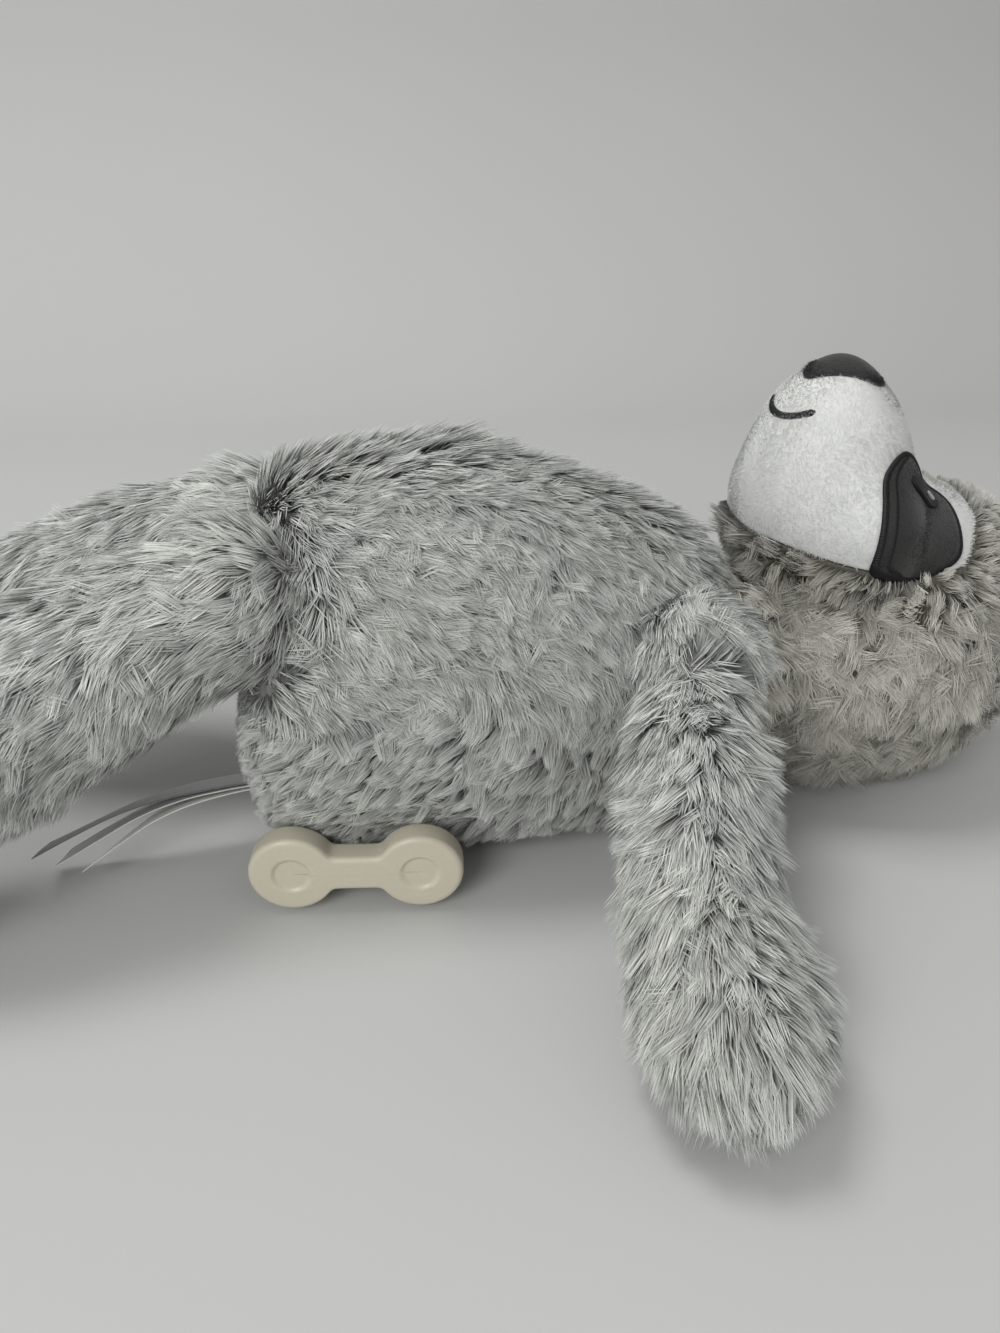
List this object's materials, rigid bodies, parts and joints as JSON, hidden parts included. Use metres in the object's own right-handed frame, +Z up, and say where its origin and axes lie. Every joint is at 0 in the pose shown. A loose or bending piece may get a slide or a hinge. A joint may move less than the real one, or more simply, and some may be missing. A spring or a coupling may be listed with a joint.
{
  "type": "musical plush sloth",
  "caption": "Long-pile grey plush sloth lying on its back, with a cord-wound musical movement pulled by a dumbbell-shaped handle at its side.",
  "frame": {"origin": "centre of the flat patch under the torso, on the surface that the toy lies on", "axes": "+X along the spine to the head, -Y to the side with the pull cord, +Z up through the belly"},
  "size_m": [0.3383, 0.2374, 0.1216],
  "materials": {
    "grey_fur": "long pile plush",
    "hood_fur": "long pile plush",
    "stuffing": "loose fibre fill",
    "face_plush": "short pile plush",
    "dark_plush": "short pile plush",
    "black_thread": "satin stitch",
    "cream_plastic": "satin moulded",
    "white_plastic": "moulded",
    "cord": "braided cord",
    "satin_ribbon": "satin",
    "brass": "bright",
    "steel": "bright"
  },
  "bodies": {
    "torso": {"torso_cover": "grey_fur", "torso_stuffing": "stuffing", "care_label_1": "satin_ribbon", "care_label_2": "satin_ribbon", "care_label_3": "satin_ribbon", "cord_eyelet": "white_plastic", "movement_case_lower": "white_plastic", "movement_case_upper": "white_plastic", "case_screw_1": "steel", "case_screw_2": "steel", "spool_axle": "steel", "mainspring": "steel", "bedplate": "brass", "comb": "steel", "comb_screw": "steel"},
    "head": {"head_cover": "hood_fur", "face_panel": "face_plush", "head_stuffing": "stuffing", "nose_patch": "dark_plush", "mouth_stitch": "black_thread", "eye_patch_left": "dark_plush", "eye_patch_right": "dark_plush", "eye_left": "black_thread", "eye_right": "black_thread"},
    "arm_left": {"arm_left_cover": "grey_fur", "arm_left_stuffing": "stuffing"},
    "arm_right": {"arm_right_cover": "grey_fur", "arm_right_stuffing": "stuffing"},
    "leg_left": {"leg_left_cover": "grey_fur", "leg_left_stuffing": "stuffing"},
    "leg_right": {"leg_right_cover": "grey_fur", "leg_right_stuffing": "stuffing"},
    "pull": {"pull_handle": "cream_plastic", "cord_knot": "cord", "pull_cord": "cord"},
    "spool": {"cord_spool": "white_plastic", "cord_winding": "cord"},
    "cylinder": {"music_cylinder": "brass"},
    "governor": {"governor_fan": "white_plastic"}
  },
  "joints": [
    {"name": "head_nod", "type": "hinge", "parent": "torso", "child": "head", "pos_m": [0.06, 0, 0.042], "axis": [0.2079, -0.9781, 0], "range_deg": [-10, 8], "stiffness_Nm_per_rad": 0.6},
    {"name": "arm_left_swing", "type": "hinge", "parent": "torso", "child": "arm_left", "pos_m": [0.042, -0.031, 0.058], "axis": [-1, 0, 0], "range_deg": [-10, 80], "stiffness_Nm_per_rad": 0.06},
    {"name": "arm_right_swing", "type": "hinge", "parent": "torso", "child": "arm_right", "pos_m": [0.042, 0.031, 0.058], "axis": [1, 0, 0], "range_deg": [-10, 80], "stiffness_Nm_per_rad": 0.06},
    {"name": "leg_left_swing", "type": "hinge", "parent": "torso", "child": "leg_left", "pos_m": [-0.063, -0.023, 0.0765], "axis": [0, 1, 0], "range_deg": [-10, 70], "stiffness_Nm_per_rad": 0.15},
    {"name": "leg_right_swing", "type": "hinge", "parent": "torso", "child": "leg_right", "pos_m": [-0.063, 0.023, 0.0765], "axis": [0, 1, 0], "range_deg": [-10, 70], "stiffness_Nm_per_rad": 0.15},
    {"name": "cord_pull", "type": "slide", "parent": "torso", "child": "pull", "axis": [0, -1, 0], "range_m": [0, 0.25], "stiffness_N_per_m": 12, "springref_m": -0.1},
    {"name": "spool_turn", "type": "hinge", "parent": "torso", "child": "spool", "pos_m": [-0.028, 0, 0.0148], "axis": [0, 0, 1], "range_deg": [0, 1200]},
    {"name": "cylinder_turn", "type": "hinge", "parent": "torso", "child": "cylinder", "pos_m": [-0.03, 0, 0.0229], "axis": [1, 0, 0], "range_deg": [-2900, 0]},
    {"name": "governor_turn", "type": "hinge", "parent": "torso", "child": "governor", "pos_m": [-0.0117, 0, 0.02], "axis": [0, 0, 1], "range_deg": [-3600, 0]}
  ],
  "couplings": [
    {"joint": "spool_turn", "follows": "cord_pull", "rad_per_m": 82.645},
    {"joint": "cylinder_turn", "follows": "cord_pull", "rad_per_m": -198.35},
    {"joint": "governor_turn", "follows": "cord_pull", "rad_per_m": -247.93}
  ]
}
